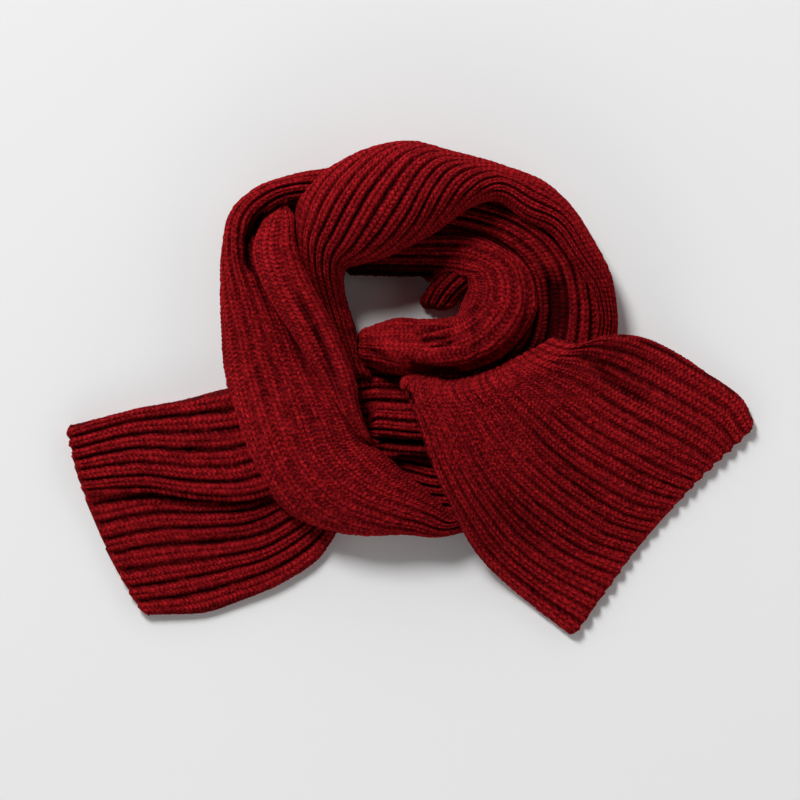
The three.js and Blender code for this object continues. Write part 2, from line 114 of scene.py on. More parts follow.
LEFT_BAND = [
    [-34, 187, -39, 144, 0, 22, 22, 1, 0],
    [-63, 182, -67, 148, 0, 28, 26, 1, 0],
    [-91, 178, -88, 151, 0, 34, 28, 1, 0],
    [-124, 167, -102, 146, 0, 38, 26, 1, 0],
    [-147, 146, -111, 130, 0, 39, 20, 0.9, 0],
    [-155, 115, -105, 105, 0, 39, 18, 0.75, 0],
    [-156, 86, -90, 80, 0, 39, 22, 0.7, 0],
    [-155, 57, -75, 53, 0, 39, 28, 0.6, 0],
    [-154, 31, -61, 25, 0, 40, 34, 0.45, 0],
    [-149, 0, -48, -4, 0, 41, 44, 0.3, 0],
    [-140, -33, -40, -23, 0, 42, 48, 0.25, 0],
    [-126, -66, -34, -39, 0, 42, 48, 0.25, 0],
    [-103, -97, -20, -52, 0, 42, 48, 0.25, 0],
    [-75, -113, -7, -65, 0, 40, 46, 0.35, 0],
    [-40, -119, 11, -80, 0, 36, 42, 0.5, 0],
    [-7, -118, 25, -94, 0, 32, 36, 0.7, 0],
    [21, -121, 37, -104, 0, 27, 30, 0.9, 0],
    [44, -117, 52, -98, 0, 22, 24, 1, 0],
]
INNER_BAND = [
    [-34, 21, -35, 51, 0, 26, 26, 0.25, 0],
    [-12, 13, -12, 58, 0, 42, 38, 0.25, 0],
    [16, 14, 12, 57, 0, 46, 40, 0.3, 0],
    [45, 15, 37, 60, 0, 47, 40, 0.3, 0],
    [74, 25, 43, 70, 0, 47, 40, 0.35, 0],
    [97, 48, 47, 80, 0, 46, 40, 0.45, 0],
    [107, 71, 46, 88, 0, 44, 39, 0.5, 0],
    [99, 102, 43, 93, 0, 42, 34, 0.5, 0],
    [74, 121, 38, 90, 0, 40, 26, 0.5, 0],
    [47, 133, 30, 87, 0, 34, 19, 0.6, 0],
    [20, 138, 14, 88, 0, 24, 17, 0.8, 0],
    [-16, 138, -19, 89, 0, 20, 16, 0.9, 0],
    [-49, 131, -48, 90, 0, 18, 15, 0.9, 0],
]
TOP_BAND = [
    [-77, 22, -33, 14, 0, 22, 22, 1, 0],
    [-84, 72, -48, 60, 0, 30, 28, 1, 0],
    [-92, 105, -55, 87, 0, 44, 42, 1, 0],
    [-95, 133, -52, 100, 0, 55, 56, 1, 0.4],
    [-91, 157, -41, 103, 0, 62, 66, 1, 1.1],
    [-80, 172, -25, 107, 0, 66, 71, 1, 2.1],
    [-62, 185, -5, 115, 0, 68, 74, 1, 3.2],
    [-32, 199, 15, 125, 0, 66, 74, 1, 4.5],
    [2, 204, 33, 137, 0, 62, 72, 1, 6],
    [38, 194, 52, 149, 0, 58, 68, 1, 7.5],
    [75, 184, 72, 153, 0, 53, 62, 1, 8.8],
    [109, 171, 90, 138, 0, 48, 56, 1, 9.5],
    [136, 147, 111, 128, 0, 45, 50, 1, 9.8],
    [156, 114, 127, 107, 0, 42, 46, 1, 9.8],
    [167, 84, 144, 82, 0, 37, 39, 1, 9.8],
    [170, 49, 149, 52, 0, 31, 31, 1, 9.8],
    [162, 12, 134, 24, 0, 24, 24, 1, 9.8],
    [140, -18, 118, -2, 0, 20, 20, 1, 9.8],
]
LEFT_STRAND = [
    [-110, 150, -99, 152, 12, 26, 27, 0.5, 0],
    [-121, 138, -91, 138, 8, 38, 42, 0.4, 0],
    [-130, 116, -86, 115, 6, 45, 50, 0.35, 0],
    [-126, 95, -79, 92, 6, 50, 54, 0.35, 0],
    [-115, 71, -70, 71, 6, 52, 57, 0.35, 0],
    [-100, 48, -60, 49, 8, 52, 58, 0.35, 0],
    [-86, 26, -52, 27, 12, 50, 57, 0.3, 0],
    [-74, 6, -45, 6, 16, 48, 55, 0.3, 0],
    [-61, -15, -41, -15, 20, 45, 50, 0.3, 0],
    [-49, -33, -34, -36, 22, 39, 43, 0.3, 0],
]

# Left end: selvedge a, middle m, selvedge b, the fold's place as a share of the width, how
# far the upper layer laps over the lower, the pocket beside it, heights at fold and far side.
LEFT_TAIL = [
    [-214, -186, -253, -113, -279, -28, 0.68, 2, 2, 12, 10],
    [-172, -185, -211, -98, -231, -15, 0.6, 8, 5, 17, 15],
    [-139, -175, -172, -90, -189, -7, 0.52, 10, 7, 18, 16],
    [-107, -161, -135, -84, -149, 2, 0.48, 12, 11, 19, 17],
    [-75, -140, -102, -66, -111, 8, 0.43, 14, 15, 19, 17],
    [-53, -108, -70, -48, -75, 13, 0.42, 10, 10, 17, 15],
    [-29, -90, -34, -35, -40, 25, 0.42, 6, 6, 13, 10],
    [-4, -94, -6, -35, -9, 25, 0.42, 5, 5, 12.5, 9],
    [20, -104, 17, -37, 15, 23, 0.42, 5, 5, 12.5, 9],
    [52, -105, 52, -38, 52, 22, 0.42, 5, 5, 12.5, 9],
]
# Right end: place and height of selvedge a, middle m and selvedge b, the tuck's place as a
# share of the width, and how far the top steps down over it.
RIGHT_TAIL = [
    [4, 12, 26, 58, 14, 24, 117, 44, 36, 0.9, 0],
    [-8, 4, 47, 57, 3, 52, 139, 39, 50, 0.9, 0],
    [3, -20, 55, 74, -18, 55, 162, 46, 48, 0.88, 3],
    [16, -59, 55, 93, -41, 50, 187, 45, 34, 0.84, 7],
    [32, -95, 46, 117, -64, 40, 213, 35, 18, 0.82, 4],
    [56, -137, 19, 146, -84, 26, 241, 18, 10, 0.8, 0],
    [92, -171, 8, 176, -101, 14, 271, -3, 8, 0.8, 0],
    [131, -201, 8, 201, -108, 8, 283, -25, 8, 0.8, 0],
]


# Curves along a table

def between(rows, t):
    """Rows of a table on a smooth curve, at places t from 0 to 1."""
    rows = np.asarray(rows, float)
    place = np.clip(t, 0, 1) * (len(rows) - 1)
    i = np.minimum(place.astype(int), len(rows) - 2)
    f = (place - i)[:, None]
    a, b = rows[np.maximum(i - 1, 0)], rows[i]
    c, d = rows[i + 1], rows[np.minimum(i + 2, len(rows) - 1)]
    return b + 0.5 * f * (c - a + f * (2 * a - 5 * b + 4 * c - d + f * (3 * (b - c) + d - a)))


def even_rows(rows, middle):
    """The table at even steps along its middle line, and the length of that line."""
    fine = between(rows, np.linspace(0, 1, 1500))
    line = middle(fine)
    steps = np.linalg.norm(np.diff(line, axis=0), axis=1)
    run = np.concatenate([[0], np.cumsum(steps)])
    count = COARSE_ROWS * math.ceil(run[-1] / STITCH * PER_ROW / COARSE_ROWS)
    places = np.interp(np.linspace(0, run[-1], count + 1), run, np.linspace(0, 1, 1500))
    return between(rows, places), run[-1]


def softened(values, reach):
    """A row of numbers, smoothed over reach places to either side."""
    kernel = np.exp(-0.5 * (np.arange(-3 * reach, 3 * reach + 1) / reach) ** 2)
    padded = np.pad(values, 3 * reach, mode="edge")
    return np.convolve(padded, kernel / kernel.sum(), mode="valid")


def step(value, low, high):
    """A smooth step from 0 at low to 1 at high."""
    f = np.clip((value - low) / (high - low), 0, 1)
    return f * f * (3 - 2 * f)


# Creases: lines on the plan, how deep they press the cloth in, which also sets their painted
# shade, and their half width. Calm places: lines on the plan, how far round them, and the share
# of relief that the knit keeps.

LEFT_BAND_CREASES = [
    ([(-112, 146), (-122, 138), (-131, 123), (-131, 108), (-127, 92)], 8, 5),
    ([(-127, 97), (-113, 68), (-90, 33), (-74, 8)], 2.5, 5),
    ([(-122, 40), (-104, 10), (-80, -22), (-50, -60)], 1.5, 7),
    ([(-140, 60), (-128, 22), (-112, -20)], 1.5, 5),
]
LEFT_STRAND_CREASES = [
    ([(-94, 84), (-86, 66), (-78, 46), (-71, 26), (-62, -4)], 3.6, 4),
    ([(-78, 58), (-70, 36), (-62, 6), (-54, -18)], 3.2, 3.4),
]
INNER_BAND_CREASES = [
    ([(60, 94), (63, 82), (62, 74), (58, 62)], 2, 3.4),
    ([(54, 80), (52, 60), (55, 40), (56, 20)], 3, 4.5),
    ([(84, 100), (94, 84), (96, 66), (90, 48)], 2.4, 3.4),
    ([(2, 45), (20, 50), (37, 54)], 4.5, 1.9),
    ([(7, 39), (22, 43), (38, 46)], 4.5, 1.9),
    ([(14, 33), (26, 36), (38, 39)], 4, 1.9),
    ([(-6, 27), (8, 19), (24, 15), (46, 14)], 3.5, 3.4),
    ([(-32, 44), (-12, 33), (8, 29), (34, 33)], -3, 8),
    ([(-38, 36), (-24, 26), (-10, 20)], 2.5, 3.4),
    ([(-84, 98), (-40, 97), (-10, 94), (34, 92)], 8, 10),
]
LOWER_TURN_CREASES = [
    ([(-30, -42), (-8, -44), (22, -46)], 10, 5),
    ([(-14, -58), (4, -58), (22, -58)], 5, 4),
    ([(-60, 0), (-34, 0), (0, -1)], 14, 10),
    ([(108, 100), (118, 80), (121, 58), (114, 38), (94, 22), (60, 14)], 9, 10),
]
RIGHT_TAIL_CREASES = [
    ([(135, 37), (148, 23), (160, 12), (182, -2), (204, -12)], 2.6, 3.4),
    ([(-6, 2), (0, -4), (2, -12)], 8, 3),
    ([(-12, 8), (4, 15), (30, 9)], -2.5, 6),
    ([(40, -30), (62, -70), (92, -112), (120, -140)], 1.5, 9),
    ([(90, -20), (120, -58), (160, -96)], 1.5, 8),
    ([(130, 0), (160, -30), (200, -66)], -1.5, 9),
]
RIGHT_TAIL_CALM = [
    ([(-6, 4), (20, 2), (50, 2), (80, 6)], 34, 0.08),
    ([(0, -14), (14, -40)], 26, 0.2),
    ([(80, 10), (110, -2), (140, 6)], 26, 0.3),
    ([(30, -14), (70, -44)], 44, 0.4),
]
LEFT_TAIL_CREASES = [
    ([(-200, -60), (-160, -40), (-130, -36)], 2, 5),
    ([(-250, -80), (-214, -78), (-180, -76)], 1.5, 5),
    ([(-180, -130), (-140, -118), (-100, -104)], 2, 6),
]


# What lies below: the height of everything made so far, on a grid over the plan

CELL = 1.5
GRID_LOW = np.array([-310.0, -235.0])
GRID = np.zeros((414, 314))


def height_below(xy):
    at = (xy - GRID_LOW) / CELL - 0.5
    at = np.clip(at, 0, np.array(GRID.shape) - 1.001)
    i = at.astype(int)
    f = at - i
    near = GRID[i[..., 0], i[..., 1]] * (1 - f[..., 1]) + GRID[i[..., 0], i[..., 1] + 1] * f[..., 1]
    far = (GRID[i[..., 0] + 1, i[..., 1]] * (1 - f[..., 1])
           + GRID[i[..., 0] + 1, i[..., 1] + 1] * f[..., 1])
    return near * (1 - f[..., 0]) + far * f[..., 0]


def lay_down(points):
    """Adds a piece to the grid of heights."""
    own = np.zeros_like(GRID)
    i = ((points[..., :2] - GRID_LOW) / CELL).astype(int).reshape(-1, 2)
    i = np.clip(i, 0, np.array(GRID.shape) - 1)
    np.maximum.at(own, (i[:, 0], i[:, 1]), points[..., 2].ravel())
    wide = np.pad(own, 1)
    around = [wide[a:a + own.shape[0], b:b + own.shape[1]] for a in range(3) for b in range(3)]
    own = np.maximum.reduce(around)
    wide = np.pad(own, 1)
    around = [wide[a:a + own.shape[0], b:b + own.shape[1]] for a in range(3) for b in range(3)]
    own = np.where(own > 0, np.mean(around, axis=0), 0)
    np.maximum(GRID, own, out=GRID)


# Knit relief

STITCHES = RANDOM.uniform(-1, 1, 4096)


def knit(ribs, rows, relief):
    """Height of rib knit over its plain form, and its painted shade at each place: in the grooves
    and between its wales and stitches.
    ribs counts ribs across from groove to groove, rows counts rows of stitches, and relief is
    1 on slack cloth, where the grooves close, and near 0 on cloth stretched flat."""
    relief = relief * (1 + uneven(np.round(ribs) * DEPTH_RIB, rows * STITCH, *RIB_DEPTHS))
    slack = np.clip(relief, 0, 1)

    # across a rib: 0 in a groove, 0.5 on a ridge, with two wales of stitches on either side
    aside = np.abs(ribs - np.round(ribs))
    climb = np.clip((aside - 0.04) / 0.46, 0, 1)
    round_top = np.sqrt(1 - (1 - climb) ** 2)
    raised = aside > 0.25 - 0.15 * slack
    middle = np.where(raised, 0.375 - 0.085 * slack, 0.125 - 0.12 * slack)
    wale = np.abs(aside - middle) / (0.125 + 0.085 * slack)
    between_wales = np.clip(wale, 0, 1) ** 2.5

    # along a wale: slanted stitches, each a little out of step with its neighbours
    column = np.floor(ribs * 2).astype(int) * 2 + raised
    slant = np.where(raised, 0.85, 0.4) * np.minimum(wale, 1.2)
    slanted = rows + slant + 0.6 * STITCHES[column % len(STITCHES)]
    own = STITCHES[(column * 131 + np.floor(slanted).astype(int) * 57) % len(STITCHES)]
    stitch = np.abs(np.sin(np.pi * (slanted + 0.1 * own))) ** 0.7

    loops = 0.75 * stitch - 0.4 + 0.35 * own - 1.3 * between_wales - 0.6 * ~raised
    height = PROUD - GROOVE * relief * (1 - round_top) + loops * (0.5 + 0.5 * round_top)
    # painted shade: in the grooves of slack cloth, between stitches, between wales and in the
    # sunken columns of flat cloth; each stitch's own tone varies at random
    dark = 0.85 * (1 - round_top) * slack ** 1.4 + 0.38 * (1 - stitch) + 0.7 * between_wales
    dark = dark + (0.3 * (1 - slack) - 0.1 * own) * ~raised - 0.08 * own
    return height, np.clip(dark, 0, 1)


# Creases and calm places, traced on the plan

def along_line(xy, line):
    """How far each place on the plan is from a line of points, and where along it, 0 to 1."""
    line = np.asarray(line, float)
    run = run_of(line)
    best = np.full(xy.shape[:-1], 1e9)
    share = np.zeros(xy.shape[:-1])
    for a, b, start, end in zip(line, line[1:], run, run[1:]):
        t = np.clip(((xy - a) @ (b - a)) / ((b - a) @ (b - a)), 0, 1)
        far = np.linalg.norm(xy - a - t[..., None] * (b - a), axis=-1)
        share = np.where(far < best, (start + t * (end - start)) / run[-1], share)
        best = np.minimum(best, far)
    return best, share


def creased(xy, creases):
    """How far the creases push the cloth in: each has its line, depth and half width."""
    total = np.zeros(xy.shape[:-1])
    for line, depth, wide in creases:
        far, share = along_line(xy, line)
        strength = step(share, -0.02, 0.2) * (1 - step(share, 0.8, 1.02))
        total += depth * strength * np.exp(-(far / wide) ** 2)
    return total


def calmed(xy, patches):
    """The share of its relief that the knit keeps: each patch has its line, reach and share."""
    keep = np.ones(xy.shape[:-1])
    for line, reach, share in patches:
        far, _ = along_line(xy, line)
        keep = np.minimum(keep, share + (1 - share) * step(far, 0.5 * reach, reach))
    return keep


def uneven(across, along, scale, amount):
    """Slow swelling of hand-laid cloth: seven long waves with a fixed seed, whose sum mostly
    stays within amount."""
    total = np.zeros(np.broadcast(across, along).shape)
    for _ in range(7):
        angle, phase = RANDOM.uniform(0, 2 * np.pi, 2)
        wave = scale * RANDOM.uniform(0.7, 1.8)
        total += np.sin((across * np.cos(angle) + along * np.sin(angle)) * 2 * np.pi / wave + phase)
    return total * amount / 2.6


def outward(points, wrap):
    """Unit normals of a grid of points that runs round a form, pointing away from it."""
    if wrap:
        across = np.roll(points, -1, 1) - np.roll(points, 1, 1)
    else:
        across = np.gradient(points, axis=1)
    normal = np.cross(across, np.gradient(points, axis=0))
    size = np.linalg.norm(normal, axis=-1, keepdims=True)
    return normal / np.maximum(size, 1e-9)


def knit_over(rings, ribbing, relief, shown, wrap, swell, tuck, creases, wander_share=1.0):
    """The cloth's outer face over rings of its plain form: swollen, creased and knitted where
    it is shown, and tucked in elsewhere. Gives that face, the form below the knit, the rib
    count and row at each place, and its painted shade, darker in creases."""
    along = np.broadcast_to((np.arange(len(rings)) / PER_ROW)[:, None], ribbing.shape)
    normal = outward(rings, wrap)
    rise = (rings - rings.mean(1, keepdims=True))[..., 2]
    flip = -1 if (rise * normal[..., 2]).sum() < 0 else 1
    pressed = creased(rings[..., :2], creases)
    swelling = uneven(ribbing * RIB, along * STITCH, *swell) - pressed
    plain = rings + flip * normal * (swelling * shown)[..., None]
    wander = uneven(ribbing * WANDER_RIB, along * STITCH, *WANDER)
    ribbing = ribbing + wander * wander_share
    height, painted_shade = knit(ribbing, along, relief)
    # painted shade in creases: one DARK_CREASE deep is as dark as a groove
    painted_shade = np.clip(painted_shade + pressed / DARK_CREASE, 0, 1)
    outer = plain + flip * outward(plain, wrap) * (height * shown - tuck * (1 - shown))[..., None]
    outer[..., 2] = np.maximum(outer[..., 2], height_below(outer[..., :2]) + CLEAR)
    return outer, plain, np.stack([ribbing, along], axis=-1), painted_shade * shown


# Meshes

def grid_faces(numbers, wrap=False):
    if wrap:
        numbers = np.concatenate([numbers, numbers[:, :1]], axis=1)
    a, b = numbers[:-1, :-1], numbers[:-1, 1:]
    c, d = numbers[1:, 1:], numbers[1:, :-1]
    return np.stack([a, b, c, d], axis=-1).reshape(-1, 4)


def join_edges(fine, coarse):
    """Triangles between an edge of many points and one of few, which start and end together."""
    faces = []
    ratio = (len(fine) - 1) / (len(coarse) - 1)
    i = 0
    for j in range(len(coarse) - 1):
        middle = round((j + 0.5) * ratio)
        while i < middle:
            faces.append((fine[i], coarse[j], fine[i + 1]))
            i += 1
        faces.append((fine[i], coarse[j], coarse[j + 1]))
    while i < len(fine) - 1:
        faces.append((fine[i], coarse[-1], fine[i + 1]))
        i += 1
    return np.array(faces)


def make_piece(name, points, quads, triangles, uv, painted_shade, material):
    """A mesh object in metres, at the origin, with its knit coordinates as a UV map."""
    mesh = bpy.data.meshes.new(name)
    place = points.copy()
    place[:, :2] -= CENTRE
    place *= MM
    signed = 0.0
    for faces in (quads[:, [0, 1, 2]], quads[:, [0, 2, 3]], triangles):
        a, b, c = (place[faces[:, k]] for k in range(3))
        signed += (a * np.cross(b, c)).sum()
    if signed < 0:
        quads, triangles = quads[:, ::-1], triangles[:, ::-1]
    corners = np.concatenate([quads.ravel(), triangles.ravel()]).astype(np.int32)
    sizes = np.concatenate([np.full(len(quads), 4), np.full(len(triangles), 3)])
    mesh.vertices.add(len(place))
    mesh.vertices.foreach_set("co", place.astype(np.float32).ravel())
    mesh.loops.add(len(corners))
    mesh.loops.foreach_set("vertex_index", corners)
    mesh.polygons.add(len(sizes))
    starts = np.concatenate([[0], np.cumsum(sizes)[:-1]]).astype(np.int32)
    mesh.polygons.foreach_set("loop_start", starts)
    mesh.update(calc_edges=True)
    layer = mesh.uv_layers.new(name="knit")
    layer.data.foreach_set("uv", uv[corners].astype(np.float32).ravel())
    # painted shade, kept on the points for the material
    shade = mesh.attributes.new("painted_shade", "FLOAT", "POINT")
    shade.data.foreach_set("value", painted_shade.astype(np.float32))
    mesh.shade_smooth()
    mesh.materials.append(material)
    mesh.validate()
    piece = bpy.data.objects.new(name, mesh)
    bpy.context.scene.collection.objects.link(piece)
    return piece


# Bunched strands

def section(width, base, out_top, in_top):
    """The outline across a strand: up from the table, over the crown, down to the table."""
    rim = min(RIM, 0.45 * (min(out_top, in_top) - base), 0.4 * width)
    turn = np.linspace(0, np.pi / 2, 13)
    near = np.stack([rim * (1 - np.sin(turn)), base + rim * (1 - np.cos(turn))], axis=1)
    arc = np.linspace(0, np.pi, 65)
    side = np.sign(np.cos(arc)) * np.abs(np.cos(arc)) ** FULLNESS
    share = (1 - side) / 2
    crown = out_top + (in_top - out_top) * share - base - rim
    over = np.stack([width * share, base + rim + crown * np.abs(np.sin(arc)) ** FULLNESS], axis=1)
    far = np.stack([width - rim * (1 - np.cos(turn)), base + rim * (1 - np.sin(turn))], axis=1)
    return np.concatenate([near[:-1], over, far[1:]])


def run_of(line):
    return np.concatenate([[0], np.cumsum(np.linalg.norm(np.diff(line, axis=0), axis=1))])


def strand_form(rows, ribs, turned):
    """Rings of a strand's plain form, trimmed where it meets what lies below, with the rib
    count at each place."""
    outlines = [section(np.hypot(*(r[INN] - r[OUT])), r[BASE], r[OUT_TOP], r[IN_TOP]) for r in rows]
    runs = [run_of(line) for line in outlines]
    fine = np.linspace(0, 1, 241)
    starts, ends = np.zeros(len(rows)), np.ones(len(rows))
    for k, (row, line, run) in enumerate(zip(rows, outlines, runs)):
        across = np.interp(fine * run[-1], run, line[:, 0])
        z = np.interp(fine * run[-1], run, line[:, 1])
        width = np.hypot(*(row[INN] - row[OUT]))
        xy = row[OUT] + (row[INN] - row[OUT]) * (across / width)[:, None]
        clear = z - height_below(xy) - CLEAR
        low = (height_below(xy) > 0.5) & (clear < 0)
        crown = int(np.argmax(clear))
        before, after = np.flatnonzero(low[:crown]), np.flatnonzero(low[crown:])
        if len(before):
            starts[k] = fine[before[-1]]
        if len(after):
            ends[k] = fine[crown + after[0]]
    starts, ends = softened(starts, 4), softened(ends, 4)
    ends = np.maximum(ends, starts + 0.05)
    count = ribs * PER_RIB
    rings = np.zeros((len(rows), count + 1 + 2 * UNDER, 3))
    ribbing = np.zeros(rings.shape[:2])
    for k, (row, line, run) in enumerate(zip(rows, outlines, runs)):
        share = np.linspace(starts[k], ends[k], count + 1)
        width = np.hypot(*(row[INN] - row[OUT]))
        across = np.interp(share * run[-1], run, line[:, 0])
        z = np.interp(share * run[-1], run, line[:, 1])
        middle = 0.5 * (across[0] + across[-1])
        in_from = np.linspace(0, 1, UNDER + 1)[:-1]
        left = middle + (across[0] - middle) * in_from
        right = middle + (across[-1] - middle) * in_from[::-1]
        across = np.concatenate([left, across, right])
        z = np.concatenate([np.full(UNDER, row[BASE]), z, np.full(UNDER, row[BASE])])
        xy = row[OUT] + (row[INN] - row[OUT]) * (across / width)[:, None]
        rings[k] = np.concatenate([xy, z[:, None]], axis=1)
        whole = run[-1] + (max(width - 2 * RIM, 1) if turned else 0)
        rib = share * run[-1] / whole * ribs + (row[TURN] if turned else 0)
        ribbing[k] = np.concatenate([np.full(UNDER, rib[0]), rib, np.full(UNDER, rib[-1])])
    return rings, ribbing


def rounded(rings, ribbing, relief):
    """Adds rings that round a strand off, drawn in about its middle, at both its ends."""
    for end in (0, -1):
        ring, inner = rings[end], rings[1 if end == 0 else -2]
        middle = ring.mean(0)
        out = (middle - inner.mean(0)) * [1, 1, 0]
        out /= max(np.linalg.norm(out), 1e-9)
        base = ring[:, 2].min()
        extra = []
        for turn in np.linspace(0, 0.46 * np.pi, END_STEPS + 1)[1:]:
            drawn = 0.25 + 0.75 * np.cos(turn)
            reach = (END_ROUND - 1) * np.sin(turn)
            moved = middle + (ring - middle) * [drawn, drawn, 1] + out * reach
            moved[:, 2] = base + (ring[:, 2] - base) * (0.35 + 0.65 * np.cos(turn))
            extra.append(moved)
        extra = np.array(extra if end else extra[::-1])
        rings = joined(end, extra, rings)
        ribbing = joined(end, np.repeat(ribbing[[end]], END_STEPS, axis=0), ribbing)
        relief = joined(end, np.repeat(relief[[end]], END_STEPS), relief)
    return rings, ribbing, relief


def joined(end, extra, rows):
    """Rows with extra ones before them, for end 0, or after them, for end -1."""
    return np.concatenate((extra, rows) if end == 0 else (rows, extra))


def inner_wall(plain):
    """The wall's inner side: a coarser grid, drawn in towards the strand's heart."""
    pick_v = np.arange(0, plain.shape[0], COARSE_ROWS)
    pick_v[-1] = plain.shape[0] - 1
    coarse = plain[pick_v][:, ::COARSE]
    low, high = coarse[..., 2].min(1, keepdims=True), coarse[..., 2].max(1, keepdims=True)
    heart = coarse.mean(1, keepdims=True) * [1, 1, 0] + ((low + high) / 2)[..., None] * [0, 0, 1]
    heart = heart + (coarse - heart) * [0.45, 0.45, 0]
    inward = heart - coarse
    far = np.linalg.norm(inward, axis=-1, keepdims=True)
    inner = coarse + inward / np.maximum(far, 1e-6) * np.minimum(WALL, 0.45 * far)
    inner[..., 2] = np.maximum(inner[..., 2], height_below(inner[..., :2]) + CLEAR)
    return inner


def strand(name, table, ribs, material, turned=False, creases=()):
    """A bunched strand as a wall of cloth round its CAD node's form, ribbed where it shows."""
    rows, length = even_rows(table, lambda r: (r[:, OUT] + r[:, INN]) / 2)
    rings, ribbing = strand_form(rows, ribs, turned)
    rings, ribbing, relief = rounded(rings, ribbing, rows[:, RELIEF])
    count_v, count_u = rings.shape[:2]
    columns = np.arange(count_u)
    shown = step(np.minimum(columns - UNDER, count_u - 1 - UNDER - columns), 0, EASE)
    outer, plain, uv, dark = knit_over(rings, ribbing, relief[:, None], shown, False,
                                       STRAND_SWELL, 0.4, creases, shown)
    inner = inner_wall(plain)
    numbers = np.arange(count_v * count_u).reshape(count_v, count_u)
    inner_count = inner.shape[0] * inner.shape[1]
    inner_numbers = numbers.size + np.arange(inner_count).reshape(inner.shape[:2])
    quads = np.concatenate([grid_faces(numbers), grid_faces(inner_numbers)[:, ::-1]])
    triangles = np.concatenate([
        join_edges(numbers[:, 0], inner_numbers[:, 0]),
        join_edges(numbers[:, -1], inner_numbers[:, -1])[:, ::-1],
        join_edges(numbers[0], inner_numbers[0])[:, ::-1],
        join_edges(numbers[-1], inner_numbers[-1]),
    ])
    points = np.concatenate([outer.reshape(-1, 3), inner.reshape(-1, 3)])
    uv = np.concatenate([uv.reshape(-1, 2), np.zeros((inner_count, 2))])
    # the wall's inner side is painted in full shade
    dark = np.concatenate([dark.ravel(), np.ones(inner_count)])
    piece = make_piece(name + "_knit", points, quads, triangles, uv, dark, material)
    lay_down(outer)
    dress(piece, name)


# Free ends

def bowed(a, m, b, p):
    """The place at share p of the way from a through m to b."""
    return a * (1 - p) * (1 - 2 * p) + 4 * m * p * (1 - p) + b * p * (2 * p - 1)


def end_width(a, m, b):
    return np.hypot(*(m - a)) + np.hypot(*(b - m))


def end_piece(name, rings, ribbing, relief, top, length, held, material, creases, patches=()):
    """A free end from closed rings of its plain form, whose first columns are its top."""
    count_v, count_u = rings.shape[:2]
    keep = relief * calmed(rings[..., :2], patches)
    outer, _, uv, dark = knit_over(rings, ribbing, keep, step(relief, 0.0, 0.25), True,
                                   END_SWELL, 0.2, creases)
    numbers = np.arange(count_v * count_u).reshape(count_v, count_u)
    ends = []
    for row in (0, -1):
        over = numbers[row, :top]
        under = np.concatenate([numbers[row, top:], numbers[row, :1]])[::-1]
        faces = join_edges(over, under)
        ends.append(faces[:, ::-1] if row else faces)
    piece = make_piece(name + "_knit", outer.reshape(-1, 3), grid_faces(numbers, wrap=True),
                       np.concatenate(ends), uv.reshape(-1, 2), dark.ravel(), material)
    lay_down(outer)
    dress(piece, name)


def under_ribs(ribs):
    """Rib counts back along an underside, half a rib past either side."""
    return np.linspace(ribs + 0.5, -0.5, 2 * UNDER)


def left_end(name, table, material, creases):
    """The left end: one layer flat on the table, and the far part of its width folded over."""
    rows, length = even_rows(table, lambda r: r[:, 2:4])
    lower_count, upper_count = LOWER_RIBS * PER_RIB + 1, UPPER_RIBS * PER_RIB + 1
    turn = np.linspace(0, np.pi, FOLD_STEPS + 2)[1:-1]
    ribs = LOWER_RIBS + UPPER_RIBS
    rib = np.concatenate([
        [0.0], np.linspace(0, LOWER_RIBS, lower_count), np.full(2 + FOLD_STEPS, LOWER_RIBS),
        LOWER_RIBS + np.linspace(0, UPPER_RIBS, upper_count), [ribs], under_ribs(ribs),
    ])
    rings, relief = [], []
    for row in rows:
        a, m, b = row[0:2], row[2:4], row[4:6]
        fold, lap, pocket, fold_top, back_top = row[6:]
        width = end_width(a, m, b)
        fold_at = fold * width
        back = fold_at + lap
        below = fold_top - CLOTH
        lower = SELVEDGE + (back - SELVEDGE) * np.linspace(0, 1, lower_count)
        dip = step(lower, fold_at - pocket, fold_at)
        upper = np.linspace(0, 1, upper_count)
        x = np.concatenate([
            [0.0], lower, [back - 0.5, fold_at + 1], fold_at - FOLD_BULGE * np.sin(turn),
            fold_at + (width - SELVEDGE - fold_at) * upper, [width],
            np.linspace(width - SELVEDGE, SELVEDGE, 2 * UNDER),
        ])
        z = np.concatenate([
            [CLOTH / 2], CLOTH * (1 - POCKET_SINK * dip),
            [max(below, CLOTH * (1 - POCKET_SINK)) + 0.3, below + 0.5],
            below + 0.5 + (CLOTH - 0.5) * (1 - np.cos(turn)) / 2,
            fold_top + (back_top - fold_top) * upper, [back_top / 2], np.full(2 * UNDER, LYING),
        ])
        rings.append(np.column_stack([bowed(a, m, b, (x / width)[:, None]), z]))
        relief.append(np.concatenate([
            [0.5], 1 - 0.8 * dip, [0, 0], np.full(FOLD_STEPS, 0.3), np.ones(upper_count), [0.5],
            np.zeros(2 * UNDER),
        ]))
    top = len(rib) - 2 * UNDER
    parts = np.array(rings), np.repeat([rib], len(rows), axis=0), np.array(relief)
    end_piece(name, *hemmed(*parts, 0, top), top, length, "folded", material, creases)


